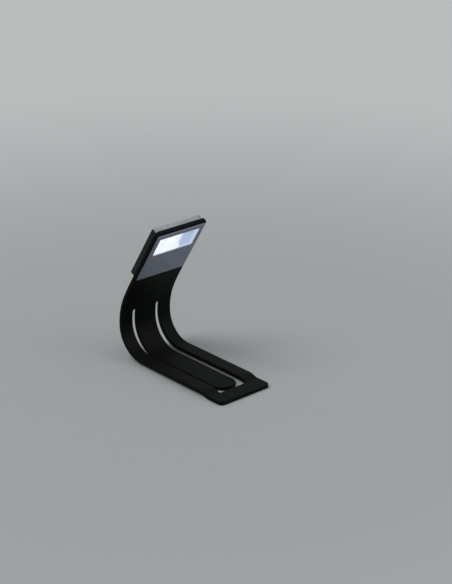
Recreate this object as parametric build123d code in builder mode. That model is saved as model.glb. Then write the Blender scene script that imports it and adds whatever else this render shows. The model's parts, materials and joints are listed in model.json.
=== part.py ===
from build123d import *
import os
from math import atan, cos, degrees, radians, sin

# Clip-on book light: a slim lamp head on a flat bendable strip whose lower end
# is bent back under itself as a slotted page clip. Millimetres, +Z up.
# The light stands on its clip: Z = 0 is the surface under the clip, X = 0 is the
# middle of the strip, the reader sits at -Y, and the strip's bend is at +Y.

# Flexible strip
strip_width = 32.0
strip_thickness = 2.0
strip_corner_radius = 2.5
foot_length = 60.0
knee_radius = 16.5
neck_radius = 33.0
neck_angle = 27.0
upper_neck_radius = 110.0
upper_neck_angle = 5.4
lower_link_angle = 15.6
head_tail = 5.0
strip_top_margin = 1.7

# Page clip cut out of the strip
tongue_width = 12.6
slit_width = 2.4
page_gap = 1.2
end_band_length = 9.0
joggle_run = 6.0
tip_gap = 2.0
tip_radius = 5.5

# Bend lines of the strip: a rounded end seats in a hollow end
bend_clearance = 0.1

# Soft steel cores inside the strip
core_width = 4.0
core_thickness = 0.5
core_clearance = 0.05
core_end_cover = 1.6

# Lamp head housing
shell_corner_radius = 0.8
bezel_corner_radius = 0.6
cutout_corner_radius = 1.2
shell_depth = 3.4
shell_wall = 1.0
back_wall = 0.8
shell_edge_radius = 0.5
bezel_thickness = 0.6
bezel_edge_radius = 0.3
skirt_clearance = 0.1
skirt_wall = 0.7
cutout_side_margin = 1.0
cutout_end_margin = 1.4

# Lamp window and optics
window_width = 25.1
window_height = 12.2
window_top_margin = 2.7
lens_side_gap = 0.2
lens_clearance = 0.05
lens_flange = 0.45
lens_corner_radius = 1.0
reflector_overlap = 0.25
lens_flange_thickness = 0.6
lens_rise = 0.45
reflector_depth = 1.7
reflector_floor = 0.3
reflector_gap = 0.1
reflector_floor_width = 12.2
reflector_floor_height = 7.6
lamp_offset = -1.9
led_width = 3.5
led_height = 2.8
led_thickness = 0.75
led_clearance = 0.2
phosphor_radius = 1.1
phosphor_depth = 0.3

# Circuit board and what it carries
board_side_margin = 0.2
board_height = 11.6
board_thickness = 0.5
board_gap = 0.1
board_top_margin = 3.2
chip_width = 2.9
chip_height = 1.6
chip_thickness = 1.0
chip_x = 8.6
chip_drop = 4.0
resistor_width = 2.0
resistor_height = 1.25
resistor_thickness = 0.5
resistor_x = -7.0
resistor_drop = 3.2

# Push switch and its bar
switch_width = 6.0
switch_height = 3.0
switch_thickness = 1.4
plunger_width = 2.4
plunger_thickness = 0.8
plunger_engaged = 0.9
plunger_clearance = 0.05
bar_travel = 0.3
bar_height = 1.5
bar_end_wall = 0.5
bar_clearance = 0.1
bar_rim_drop = 0.1
bar_front_clearance = 0.1
rib_pitch = 1.2
rib_groove_radius = 0.3
rib_groove_depth = 0.15
ribbed_width = 26.4
switch_wall_height = 0.8
switch_wall_front = 0.5
leg_spacing = 20.0
leg_width = 2.2
leg_hook = 0.35
leg_hook_height = 0.6

# Coin cells and their contacts
cell_radius = 8.0
cell_thickness = 1.6
cell_count = 2
cell_edge_bevel = 0.25
cell_bottom_margin = 1.55
cell_board_gap = 0.45
cell_relief = 0.1
cell_door_gap = 0.1
contact_thickness = 0.2
contact_pad_width = 10.0
contact_pad_height = 8.0
contact_arm_inset = 4.5
contact_arm_width = 2.0
contact_arm_margin = 0.6
contact_tab_length = 2.2
side_contact_height = 1.4
side_contact_bow = 0.85
side_contact_span = 9.4
side_contact_gap = 0.05

# Battery door and fasteners
door_radius = 8.8
door_clearance = 0.1
door_seat_gap = 0.05
ear_cell_gap = 0.2
ear_radius = 2.0
boss_wall = 0.5
door_boss_length = 2.0
finger_notch_radius = 2.4
finger_notch_depth = 0.35
screw_shank_radius = 0.6
screw_head_radius = 1.1
screw_head_height = 0.4
screw_slot_width = 0.3
screw_slot_depth = 0.2
screw_clearance = 0.05
door_screw_length = 2.2
housing_screw_length = 3.6
housing_screw_inset = 3.2
housing_screw_rise = 3.4
housing_boss_radius = 1.7
hook_width = 3.0
hook_rise = 24.0
hook_reach = 1.3
hook_barb = 0.25
hook_barb_height = 0.4
hook_clearance = 0.1

# The head is as wide as its window needs, and as tall as the cells and the board.
# The door's ear stands beside the cells.
window_side_margin = cutout_side_margin + skirt_clearance + skirt_wall + lens_side_gap + lens_flange
housing_width = window_width + 2 * window_side_margin
board_width = window_width + 2 * reflector_overlap - 2 * board_side_margin
contact_arm_x = housing_width / 2 - contact_arm_inset
door_boss_radius = ear_radius + door_clearance + boss_wall
ear_x = cell_radius + ear_cell_gap + door_boss_radius
cell_diameter = 2 * cell_radius
housing_height = cell_bottom_margin + cell_diameter + cell_board_gap + board_height + board_top_margin

# Places along the strip, on its centre line, seen from the side (Y, Z)
half_thickness = strip_thickness / 2
knee_start_y = (foot_length - knee_radius - half_thickness) / 2
knee_top = (knee_start_y + knee_radius, half_thickness + knee_radius)
foot_front_y = knee_start_y - foot_length
tongue_tip_y = foot_front_y + end_band_length + tip_gap
slit_x = tongue_width / 2 + slit_width / 2
rail_inner_x = tongue_width / 2 + slit_width
rail_width = strip_width / 2 - rail_inner_x
rail_centre_x = rail_inner_x + rail_width / 2
joggle_angle = degrees(2 * atan(page_gap / joggle_run))
joggle_radius = joggle_run / (2 * sin(radians(joggle_angle)))
head_tilt = neck_angle + upper_neck_angle

# Centre lines of the strip's lengths, each going on from the one below it
with BuildLine() as band_line:
    Line((foot_front_y, half_thickness), (foot_front_y + end_band_length, half_thickness))

with BuildLine() as rail_line:
    rise = JernArc(band_line.line @ 1, (1, 0), joggle_radius, joggle_angle)
    level = JernArc(rise @ 1, rise % 1, joggle_radius, -joggle_angle)
    straight = Line(level @ 1, (knee_start_y + page_gap, half_thickness + page_gap))
    JernArc(straight @ 1, (1, 0), knee_radius - page_gap, 90)

with BuildLine() as tongue_line:
    tongue_flat = Line((tongue_tip_y, half_thickness), (knee_start_y, half_thickness))
    JernArc(tongue_flat @ 1, (1, 0), knee_radius, 90)

with BuildLine() as clip_top_line:
    JernArc(knee_top, (0, 1), neck_radius, neck_angle - lower_link_angle)

with BuildLine() as lower_link_line:
    below = clip_top_line.line
    JernArc(below @ 1, below % 1, neck_radius, lower_link_angle)

with BuildLine() as upper_link_line:
    below = lower_link_line.line
    JernArc(below @ 1, below % 1, upper_neck_radius, upper_neck_angle)

with BuildLine() as head_line:
    below = upper_link_line.line
    PolarLine(below @ 1, head_tail + housing_height + strip_top_margin, angle=90 + head_tilt)

lower_bend = clip_top_line.line @ 1
middle_bend = lower_link_line.line @ 1
upper_bend = upper_link_line.line @ 1

# The lamp head is drawn on planes parallel to the strip's face. Local x is the
# width, local y runs up the head from the housing's bottom edge, and the plane's
# normal points at the reader. Depth 0 is the front face of the strip.
head_normal = Vector(0, -cos(radians(head_tilt)), -sin(radians(head_tilt)))
head_up = Vector(0, -sin(radians(head_tilt)), cos(radians(head_tilt)))
bend_point = Vector(0, upper_bend.X, upper_bend.Y)
head_origin = bend_point + head_up * head_tail + head_normal * half_thickness
head_plane = Plane(origin=head_origin, x_dir=(1, 0, 0), z_dir=head_normal)

# Depths through the head, counted from the strip's front face, minus is backward
strip_back = -strip_thickness
shell_back = strip_back - shell_depth
inner_back = shell_back + back_wall
lens_back = -lens_flange_thickness
reflector_front = lens_back - reflector_gap
reflector_back = reflector_front - reflector_depth
board_front = reflector_back - board_gap
board_back = board_front - board_thickness
cells_back = inner_back + cell_door_gap
cells_front = cells_back + cell_count * cell_thickness
screw_seat = shell_back + screw_head_height

# Heights up the head, counted from the housing's bottom edge
housing_middle = housing_height / 2
window_middle = housing_height - window_top_margin - window_height / 2
board_top = housing_height - board_top_margin
board_middle = board_top - board_height / 2
board_bottom = board_top - board_height
cell_middle = cell_bottom_margin + cell_radius
bar_top = housing_height - bar_rim_drop
bar_bottom = bar_top - bar_height
wall_top = bar_bottom - bar_travel - bar_clearance
wall_bottom = wall_top - switch_wall_height
switch_wall_depth = strip_back - switch_wall_front
bar_front = strip_back - bar_front_clearance
plunger_middle_depth = board_back - switch_thickness / 2
plunger_top = wall_bottom - 2 * bar_clearance
switch_top = plunger_top - bar_travel - 2 * bar_clearance
cavity_width = housing_width - 2 * shell_wall
cutout_width = housing_width - 2 * cutout_side_margin
cutout_height = housing_height - 2 * cutout_end_margin
bar_width = housing_width - 2 * bar_end_wall - 2 * bar_clearance
housing_screw_x = housing_width / 2 - housing_screw_inset
core_x = rail_centre_x


def at_depth(depth):
    """The head's drawing plane, moved to a depth behind or before the strip's face."""
    return head_plane.offset(depth)


def strip_length(line, rounded_at=None, hollow_at=None):
    """A full width length of strip with a rounded lower end and a hollow upper end."""
    with BuildPart() as length:
        with BuildSketch(Plane.YZ):
            trace(line.line, line_width=strip_thickness)
            if rounded_at is not None:
                with Locations(rounded_at):
                    Circle(half_thickness)
            if hollow_at is not None:
                with Locations(hollow_at):
                    Circle(half_thickness + bend_clearance, mode=Mode.SUBTRACT)
        extrude(amount=strip_width / 2, both=True)
    return length.part


def core_profile(line, thickness, width):
    """A pair of flat bands along a line, one under each rail of the strip."""
    with BuildPart() as bands:
        with BuildSketch(Plane.YZ.offset(core_x - width / 2)):
            trace(line, line_width=thickness)
        extrude(amount=width)
        mirror(about=Plane.YZ)
    return bands.part


def shortened(line):
    """The stretch of a link's centre line that a core fills, clear of both bend lines."""
    edge = line.line.edges()[0]
    cover = core_end_cover / edge.length
    return [edge.trim(cover, 1 - cover)]


def core_and_pocket(edges):
    """The steel bands of one length of strip and the slightly larger hollow for them."""
    bands = core_profile(edges, core_thickness, core_width)
    pocket_thickness = core_thickness + 2 * core_clearance
    pocket = core_profile(edges, pocket_thickness, core_width + 2 * core_clearance)
    return bands, pocket


def door_outline(margin):
    """The battery door's outline round its centre: a disc with one ear for the screw."""
    Circle(door_radius + margin)
    with Locations((ear_x / 2, 0)):
        Rectangle(ear_x, 2 * (ear_radius + margin))
    with Locations((ear_x, 0)):
        Circle(ear_radius + margin)


def finish_piece(piece, name):
    """Names a finished piece and writes it as its own file."""
    piece.label = name
    export_step(piece, f"parts/{name}.step")


os.makedirs("parts", exist_ok=True)

# Strip behind the lamp head, with the window that the housing is fastened through
head_core_edge = head_line.line.edges()[0]
core_stub_end = (head_tail + cutout_end_margin - half_thickness / 2) / head_core_edge.length
core_stub_start = core_end_cover / head_core_edge.length
head_core_edges = [head_core_edge.trim(core_stub_start, core_stub_end)]
core_head_solid, head_pocket = core_and_pocket(head_core_edges)
with BuildPart() as strip_head:
    add(strip_length(head_line, rounded_at=upper_bend))
    top_corners = strip_head.edges().filter_by(lambda e: e.length < strip_thickness * 1.01)
    top_corners = top_corners.group_by(Axis.Z)[-1]
    fillet(top_corners, strip_corner_radius)
    with BuildSketch(at_depth(0)):
        with Locations((0, housing_middle)):
            RectangleRounded(cutout_width, cutout_height, cutout_corner_radius)
    extrude(amount=-strip_thickness, mode=Mode.SUBTRACT)
    add(head_pocket, mode=Mode.SUBTRACT)
finish_piece(strip_head.part, "strip_head")

with BuildPart() as core_head:
    add(core_head_solid)
finish_piece(core_head.part, "core_head")

# Bendable neck: two short lengths between the head and the clip
for link_name, core_name, link_line, lower_end, upper_end in (
    ("strip_link_upper", "core_link_upper", upper_link_line, middle_bend, upper_bend),
    ("strip_link_lower", "core_link_lower", lower_link_line, lower_bend, middle_bend),
):
    link_core_solid, link_pocket = core_and_pocket(shortened(link_line))
    with BuildPart() as strip_link:
        add(strip_length(link_line, rounded_at=lower_end, hollow_at=upper_end))
        add(link_pocket, mode=Mode.SUBTRACT)
    finish_piece(strip_link.part, link_name)
    with BuildPart() as core_link:
        add(link_core_solid)
    finish_piece(core_link.part, core_name)

# Clip frame: two rails run down round the knee and forward, and drop over a small
# joggle to a cross band that lies on the table in line with the tongue
clip_core_edges = rail_line.line.edges().sort_by(Axis.Y)[-1:] + rail_line.line.edges().filter_by(
    GeomType.LINE
)
clip_core_solid, clip_pocket = core_and_pocket(clip_core_edges)
with BuildPart() as strip_clip:
    add(strip_length(clip_top_line, hollow_at=lower_bend))
    with BuildSketch(Plane.YZ.offset(rail_inner_x)):
        trace(rail_line.line, line_width=strip_thickness)
    rails = extrude(amount=rail_width)
    mirror(rails, about=Plane.YZ)
    with BuildSketch(Plane.XY):
        with Locations((0, foot_front_y + end_band_length / 2)):
            Rectangle(strip_width, end_band_length)
    extrude(amount=strip_thickness)
    upright = strip_clip.edges().filter_by(Axis.Z)
    fillet(upright.group_by(Axis.Y)[0], strip_corner_radius)
    with BuildSketch(Plane.XZ.offset(-knee_top[0])):
        with Locations((-slit_x, knee_top[1]), (slit_x, knee_top[1])):
            Circle(slit_width / 2)
    extrude(amount=strip_thickness, both=True, mode=Mode.SUBTRACT)
    with BuildSketch(Plane.YZ):
        with Locations(knee_top):
            Circle(half_thickness + bend_clearance)
    extrude(amount=slit_x, both=True, mode=Mode.SUBTRACT)
    add(clip_pocket, mode=Mode.SUBTRACT)
finish_piece(strip_clip.part, "strip_clip")

with BuildPart() as core_clip:
    add(clip_core_solid)
finish_piece(core_clip.part, "core_clip")

# Tongue between the slits: the page goes over it and under the rails
with BuildPart() as strip_tongue:
    with BuildSketch(Plane.YZ):
        trace(tongue_line.line, line_width=strip_thickness)
        with Locations(knee_top):
            Circle(half_thickness)
    extrude(amount=tongue_width / 2, both=True)
    tongue_tip = strip_tongue.edges().filter_by(Axis.Z).group_by(Axis.Y)[0]
    fillet(tongue_tip, tip_radius)
finish_piece(strip_tongue.part, "strip_tongue")

# Front bezel: satin plate with the lamp window, a skirt that goes through the
# strip, two bosses for the housing screws and two side hooks for the rear shell
with BuildPart() as front_bezel:
    with BuildSketch(at_depth(0)):
        with Locations((0, housing_middle)):
            RectangleRounded(housing_width, housing_height, bezel_corner_radius)
    extrude(amount=bezel_thickness)
    front_face = front_bezel.faces().filter_by(
        lambda f: f.normal_at().dot(head_normal) > 0.99
    )
    fillet(front_face.edges(), bezel_edge_radius)
    with BuildSketch(at_depth(0)):
        with Locations((0, housing_middle)):
            skirt_width = cutout_width - 2 * skirt_clearance
            skirt_height = cutout_height - 2 * skirt_clearance
            RectangleRounded(skirt_width, skirt_height, cutout_corner_radius)
            RectangleRounded(
                skirt_width - 2 * skirt_wall,
                skirt_height - 2 * skirt_wall,
                cutout_corner_radius - skirt_wall,
                mode=Mode.SUBTRACT,
            )
    extrude(amount=-strip_thickness)
    with BuildSketch(at_depth(0)):
        with Locations((-housing_screw_x, housing_screw_rise), (housing_screw_x, housing_screw_rise)):
            Circle(housing_boss_radius)
    extrude(amount=-strip_thickness)
    with BuildSketch(at_depth(bezel_thickness)):
        with Locations((0, window_middle)):
            Rectangle(window_width, window_height)
    extrude(amount=-bezel_thickness, mode=Mode.SUBTRACT)
    with BuildSketch(at_depth(strip_back)):
        with Locations((-housing_screw_x, housing_screw_rise), (housing_screw_x, housing_screw_rise)):
            Circle(screw_shank_radius)
    extrude(amount=strip_thickness, mode=Mode.SUBTRACT)
    with BuildSketch(at_depth(strip_back)):
        with Locations((0, cell_middle)):
            Circle(cell_radius + cell_relief)
    extrude(amount=cells_front + contact_thickness - strip_back, mode=Mode.SUBTRACT)
    hook_centre_x = skirt_width / 2 - skirt_wall / 2
    with BuildSketch(at_depth(strip_back)):
        with Locations((-hook_centre_x, hook_rise), (hook_centre_x, hook_rise)):
            Rectangle(skirt_wall, hook_width)
    extrude(amount=-hook_reach)
    barb_width = skirt_wall + hook_barb
    barb_x = skirt_width / 2 + hook_barb - barb_width / 2
    with BuildSketch(at_depth(strip_back - hook_reach)):
        with Locations((-barb_x, hook_rise), (barb_x, hook_rise)):
            Rectangle(barb_width, hook_width)
    extrude(amount=hook_barb_height)
finish_piece(front_bezel.part, "front_bezel")

# Clear window: a flange behind the bezel and a raised pane in the opening
with BuildPart() as window_lens:
    with BuildSketch(at_depth(lens_back)):
        with Locations((0, window_middle)):
            flange_width = window_width + 2 * lens_flange
            flange_height = window_height + 2 * lens_flange
            RectangleRounded(flange_width, flange_height, lens_corner_radius)
    extrude(amount=lens_flange_thickness)
    with BuildSketch(at_depth(0)):
        with Locations((0, window_middle)):
            Rectangle(window_width - 2 * lens_clearance, window_height - 2 * lens_clearance)
    extrude(amount=lens_rise)
finish_piece(window_lens.part, "window_lens")

# Reflector tray: four sloped sides round a small floor that the LED looks through
with BuildPart() as reflector_tray:
    with BuildSketch(at_depth(reflector_back)):
        with Locations((0, window_middle)):
            Rectangle(window_width + 2 * reflector_overlap, window_height + 2 * reflector_overlap)
    extrude(amount=reflector_depth)
    with BuildSketch(at_depth(reflector_front)):
        with Locations((0, window_middle)):
            Rectangle(window_width - 2 * reflector_overlap, window_height - 2 * reflector_overlap)
    with BuildSketch(at_depth(reflector_back + reflector_floor)):
        with Locations((lamp_offset, window_middle)):
            Rectangle(reflector_floor_width, reflector_floor_height)
    loft(mode=Mode.SUBTRACT)
    with BuildSketch(at_depth(reflector_back)):
        with Locations((lamp_offset, window_middle)):
            Rectangle(led_width + led_clearance, led_height + led_clearance)
    extrude(amount=reflector_depth, mode=Mode.SUBTRACT)
finish_piece(reflector_tray.part, "reflector_tray")

# White LED: a square package with a round well, and the phosphor that fills it
led_front = board_front + led_thickness
with BuildPart() as led_body:
    with BuildSketch(at_depth(board_front)):
        with Locations((lamp_offset, window_middle)):
            Rectangle(led_width, led_height)
    extrude(amount=led_thickness)
    with BuildSketch(at_depth(led_front)):
        with Locations((lamp_offset, window_middle)):
            Circle(phosphor_radius)
    extrude(amount=-phosphor_depth, mode=Mode.SUBTRACT)
finish_piece(led_body.part, "led_body")

with BuildPart() as led_phosphor:
    with BuildSketch(at_depth(led_front)):
        with Locations((lamp_offset, window_middle)):
            Circle(phosphor_radius)
    extrude(amount=-phosphor_depth)
finish_piece(led_phosphor.part, "led_phosphor")

# Circuit board behind the reflector, with a resistor and a driver chip on its back
with BuildPart() as circuit_board:
    with BuildSketch(at_depth(board_back)):
        with Locations((0, board_middle)):
            RectangleRounded(board_width, board_height, board_thickness)
    extrude(amount=board_thickness)
finish_piece(circuit_board.part, "circuit_board")

with BuildPart() as driver_chip:
    with BuildSketch(at_depth(board_back)):
        with Locations((chip_x, board_top - chip_drop)):
            Rectangle(chip_width, chip_height)
    extrude(amount=-chip_thickness, taper=6)
finish_piece(driver_chip.part, "driver_chip")

with BuildPart() as resistor:
    with BuildSketch(at_depth(board_back)):
        with Locations((resistor_x, board_top - resistor_drop)):
            Rectangle(resistor_width, resistor_height)
    extrude(amount=-resistor_thickness)
finish_piece(resistor.part, "resistor")

# Push switch on the board's back: a box with a mouth for its plunger
plunger_bottom = switch_top - plunger_engaged
with BuildPart() as switch_box:
    with BuildSketch(at_depth(board_back)):
        with Locations((0, switch_top - switch_height / 2)):
            Rectangle(switch_width, switch_height)
    extrude(amount=-switch_thickness)
    mouth_bottom = plunger_bottom - bar_travel - plunger_clearance
    mouth_thickness = plunger_thickness + 2 * plunger_clearance
    with BuildSketch(at_depth(plunger_middle_depth - mouth_thickness / 2)):
        with Locations((0, (switch_top + mouth_bottom) / 2)):
            Rectangle(plunger_width + 2 * plunger_clearance, switch_top - mouth_bottom)
    extrude(amount=mouth_thickness, mode=Mode.SUBTRACT)
finish_piece(switch_box.part, "switch_box")

with BuildPart() as switch_plunger:
    with BuildSketch(at_depth(plunger_middle_depth - plunger_thickness / 2)):
        with Locations((0, (plunger_top + plunger_bottom) / 2)):
            Rectangle(plunger_width, plunger_top - plunger_bottom)
    extrude(amount=plunger_thickness)
finish_piece(switch_plunger.part, "switch_plunger")

# Ribbed push bar across the top of the housing: its stem presses the plunger and
# its two hooked legs keep it in the wall below
hook_top = wall_bottom - bar_clearance
groove_count = int(ribbed_width / rib_pitch)
with BuildPart() as push_bar:
    bar_depth = bar_front - shell_back
    with BuildSketch(at_depth(shell_back)):
        with Locations((0, (bar_top + bar_bottom) / 2)):
            Rectangle(bar_width, bar_height)
    extrude(amount=bar_depth)
    groove_height = bar_top + rib_groove_radius - rib_groove_depth
    with BuildSketch(at_depth(shell_back)):
        with Locations((0, groove_height)):
            with GridLocations(rib_pitch, 0, groove_count, 1):
                Circle(rib_groove_radius)
    extrude(amount=bar_depth, mode=Mode.SUBTRACT)
    with BuildSketch(at_depth(plunger_middle_depth - plunger_thickness / 2)):
        with Locations((0, (plunger_top + bar_bottom) / 2)):
            Rectangle(plunger_width, bar_bottom - plunger_top)
        with Locations((-leg_spacing / 2, 0), (leg_spacing / 2, 0)):
            with Locations((0, (bar_bottom + hook_top - leg_hook_height) / 2)):
                Rectangle(leg_width, bar_bottom - hook_top + leg_hook_height)
    extrude(amount=plunger_thickness)
    with BuildSketch(at_depth(plunger_middle_depth - plunger_thickness / 2)):
        with Locations((-leg_spacing / 2, 0), (leg_spacing / 2, 0)):
            with Locations((0, hook_top - leg_hook_height / 2)):
                Rectangle(leg_width + 2 * leg_hook, leg_hook_height)
    extrude(amount=plunger_thickness)
finish_piece(push_bar.part, "push_bar")

# Rear shell: a thin walled tray with the battery opening, screw bosses, the wall
# that guides the push bar, and the open channel that the bar lies in
with BuildPart() as rear_shell:
    with BuildSketch(at_depth(shell_back)):
        with Locations((0, housing_middle)):
            RectangleRounded(housing_width, housing_height, shell_corner_radius)
    extrude(amount=shell_depth)
    back_face = rear_shell.faces().filter_by(lambda f: f.normal_at().dot(head_normal) < -0.99)
    fillet(back_face.edges(), shell_edge_radius)
    with BuildSketch(at_depth(inner_back)):
        with Locations((0, (shell_wall + wall_bottom) / 2)):
            Rectangle(cavity_width, wall_bottom - shell_wall)
    extrude(amount=strip_back - inner_back, mode=Mode.SUBTRACT)
    with BuildSketch(at_depth(switch_wall_depth)):
        with Locations((0, (wall_bottom + wall_top) / 2)):
            Rectangle(cavity_width, switch_wall_height)
    extrude(amount=strip_back - switch_wall_depth, mode=Mode.SUBTRACT)
    channel_height = housing_height - wall_top
    with BuildSketch(at_depth(shell_back)):
        with Locations((0, wall_top + channel_height / 2)):
            Rectangle(bar_width + 2 * bar_clearance, channel_height)
    extrude(amount=shell_depth, mode=Mode.SUBTRACT)
    guide_thickness = plunger_thickness + 2 * plunger_clearance
    with BuildSketch(at_depth(plunger_middle_depth - guide_thickness / 2)):
        with Locations((0, (wall_bottom + wall_top) / 2)):
            Rectangle(plunger_width + 2 * plunger_clearance, switch_wall_height)
            with Locations((-leg_spacing / 2, 0), (leg_spacing / 2, 0)):
                Rectangle(leg_width + 2 * plunger_clearance, switch_wall_height)
    extrude(amount=guide_thickness, mode=Mode.SUBTRACT)
    with BuildSketch(at_depth(inner_back)):
        with Locations((ear_x, cell_middle)):
            Circle(door_boss_radius)
    extrude(amount=door_boss_length)
    with BuildSketch(at_depth(inner_back)):
        with Locations((-housing_screw_x, housing_screw_rise), (housing_screw_x, housing_screw_rise)):
            Circle(housing_boss_radius)
    extrude(amount=strip_back - inner_back)
    with BuildSketch(at_depth(shell_back)):
        with Locations((0, cell_middle)):
            door_outline(door_clearance)
    extrude(amount=back_wall, mode=Mode.SUBTRACT)
    with BuildSketch(at_depth(inner_back)):
        with Locations((ear_x, cell_middle)):
            Circle(screw_shank_radius + screw_clearance)
    extrude(amount=door_boss_length, mode=Mode.SUBTRACT)
    with BuildSketch(at_depth(shell_back)):
        with Locations((-housing_screw_x, housing_screw_rise), (housing_screw_x, housing_screw_rise)):
            Circle(screw_shank_radius + screw_clearance)
    extrude(amount=shell_depth, mode=Mode.SUBTRACT)
    with BuildSketch(at_depth(shell_back)):
        with Locations((-housing_screw_x, housing_screw_rise), (housing_screw_x, housing_screw_rise)):
            Circle(screw_head_radius + screw_clearance)
    extrude(amount=screw_head_height, mode=Mode.SUBTRACT)
    notch_depth = hook_barb_height + 2 * hook_clearance
    notch_centre_x = cavity_width / 2 + hook_barb / 2
    with BuildSketch(at_depth(strip_back - hook_reach - hook_clearance)):
        with Locations((-notch_centre_x, hook_rise), (notch_centre_x, hook_rise)):
            Rectangle(hook_barb, hook_width + 2 * hook_clearance)
    extrude(amount=notch_depth, mode=Mode.SUBTRACT)
finish_piece(rear_shell.part, "rear_shell")

# Two coin cells stacked in the lower half of the head
for cell_name, cell_base in (("coin_cell_rear", cells_back), ("coin_cell_front", cells_back + cell_thickness)):
    with BuildPart() as coin_cell:
        with BuildSketch(at_depth(cell_base)):
            with Locations((0, cell_middle)):
                Circle(cell_radius)
        extrude(amount=cell_thickness)
        chamfer(coin_cell.edges(), cell_edge_bevel)
    finish_piece(coin_cell.part, cell_name)

# Front contact: a pad on the front cell, an arm beside it, and a tab under the board
arm_top = board_bottom - contact_arm_margin
arm_back = board_back - contact_thickness
with BuildPart() as contact_front:
    with BuildSketch(at_depth(cells_front)):
        with Locations((0, cell_middle)):
            RectangleRounded(contact_pad_width, contact_pad_height, contact_arm_width / 2)
        arm_length = contact_arm_x + contact_arm_width / 2
        with Locations((arm_length / 2, cell_middle)):
            Rectangle(arm_length, contact_arm_width)
        with Locations((contact_arm_x, (cell_middle - contact_arm_width / 2 + arm_top) / 2)):
            Rectangle(contact_arm_width, arm_top - cell_middle + contact_arm_width / 2)
    extrude(amount=contact_thickness)
    with BuildSketch(at_depth(arm_back)):
        with Locations((contact_arm_x, arm_top - contact_thickness / 2)):
            Rectangle(contact_arm_width, contact_thickness)
    extrude(amount=cells_front + contact_thickness - arm_back)
    tab_end = board_bottom + contact_tab_length
    with BuildSketch(at_depth(arm_back)):
        with Locations((contact_arm_x, (arm_top - contact_thickness + tab_end) / 2)):
            Rectangle(contact_arm_width, tab_end - arm_top + contact_thickness)
    extrude(amount=contact_thickness)
finish_piece(contact_front.part, "contact_front")

# Side contact: a bowed leaf that presses on the rear cell's rim
leaf_face_x = -cell_radius - side_contact_gap - contact_thickness / 2
leaf_rest_x = leaf_face_x - side_contact_bow
with BuildPart() as contact_side:
    with BuildSketch(at_depth(board_back)):
        with BuildLine():
            bow = ThreePointArc(
                (leaf_rest_x, cell_middle - side_contact_span / 2),
                (leaf_face_x, cell_middle),
                (leaf_rest_x, cell_middle + side_contact_span / 2),
            )
            Line(bow @ 1, (leaf_rest_x, board_bottom + contact_tab_length))
        trace(line_width=contact_thickness)
    extrude(amount=-side_contact_height)
finish_piece(contact_side.part, "contact_side")

# Round battery door, flush in the back wall, with one screw ear
with BuildPart() as battery_door:
    with BuildSketch(at_depth(shell_back)):
        with Locations((0, cell_middle)):
            door_outline(0)
    extrude(amount=back_wall - door_seat_gap)
    with BuildSketch(at_depth(shell_back)):
        with Locations((-door_radius, cell_middle)):
            Circle(finger_notch_radius)
    extrude(amount=finger_notch_depth, mode=Mode.SUBTRACT)
    with BuildSketch(at_depth(shell_back)):
        with Locations((ear_x, cell_middle)):
            Circle(screw_shank_radius)
    extrude(amount=back_wall, mode=Mode.SUBTRACT)
    with BuildSketch(at_depth(shell_back)):
        with Locations((ear_x, cell_middle)):
            Circle(screw_head_radius)
    extrude(amount=screw_head_height, mode=Mode.SUBTRACT)
finish_piece(battery_door.part, "battery_door")


def flat_head_screws(places, length):
    """Small slotted screws, heads flush with the back of the housing."""
    with BuildPart() as screws:
        with BuildSketch(at_depth(shell_back)):
            with Locations(*places):
                Circle(screw_head_radius)
        extrude(amount=screw_head_height)
        with BuildSketch(at_depth(screw_seat)):
            with Locations(*places):
                Circle(screw_shank_radius)
        extrude(amount=length - screw_head_height)
        with BuildSketch(at_depth(shell_back)):
            with Locations(*places):
                Rectangle(2 * screw_head_radius, screw_slot_width)
        extrude(amount=screw_slot_depth, mode=Mode.SUBTRACT)
    return screws.part


finish_piece(flat_head_screws([(ear_x, cell_middle)], door_screw_length), "door_screw")
housing_places = [(-housing_screw_x, housing_screw_rise), (housing_screw_x, housing_screw_rise)]
finish_piece(flat_head_screws(housing_places, housing_screw_length), "housing_screws")

print("bend points (y, z):", lower_bend, middle_bend, upper_bend, "tongue hinge", knee_top)
print("head origin", head_origin, "normal", head_normal, "up", head_up)
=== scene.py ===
# %% [markdown]
# A clip-on book light: a slim lamp head on a black rubber strip. The strip's lower
# end is slit and bent back under itself as a sprung clip. The hard pieces and their
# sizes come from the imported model. This script gives them their finish, and makes
# the pieces that the eye rests on again, with softer edges.

# %% Load the fixed frame
import json
import math
import bpy
import bmesh
from mathutils import Matrix, Vector


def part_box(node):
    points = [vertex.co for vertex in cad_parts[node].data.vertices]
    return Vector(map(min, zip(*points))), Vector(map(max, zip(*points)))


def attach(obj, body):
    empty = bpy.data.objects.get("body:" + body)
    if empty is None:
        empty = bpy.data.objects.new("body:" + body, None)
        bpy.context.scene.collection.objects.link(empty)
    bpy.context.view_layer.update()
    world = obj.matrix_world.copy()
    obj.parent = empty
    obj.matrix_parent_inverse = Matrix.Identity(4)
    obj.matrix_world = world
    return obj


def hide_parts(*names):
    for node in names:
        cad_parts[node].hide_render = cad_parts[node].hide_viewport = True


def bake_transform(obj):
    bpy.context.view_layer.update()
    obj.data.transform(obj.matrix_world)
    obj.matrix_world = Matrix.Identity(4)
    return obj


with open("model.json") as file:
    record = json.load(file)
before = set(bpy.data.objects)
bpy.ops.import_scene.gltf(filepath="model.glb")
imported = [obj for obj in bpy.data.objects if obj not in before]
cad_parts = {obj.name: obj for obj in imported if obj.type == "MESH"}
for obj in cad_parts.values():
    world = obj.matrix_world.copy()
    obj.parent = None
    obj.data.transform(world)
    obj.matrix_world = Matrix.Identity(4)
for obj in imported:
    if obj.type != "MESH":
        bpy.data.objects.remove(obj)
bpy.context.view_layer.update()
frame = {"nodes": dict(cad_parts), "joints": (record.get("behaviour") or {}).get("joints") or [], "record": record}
MM = 0.001

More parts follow.
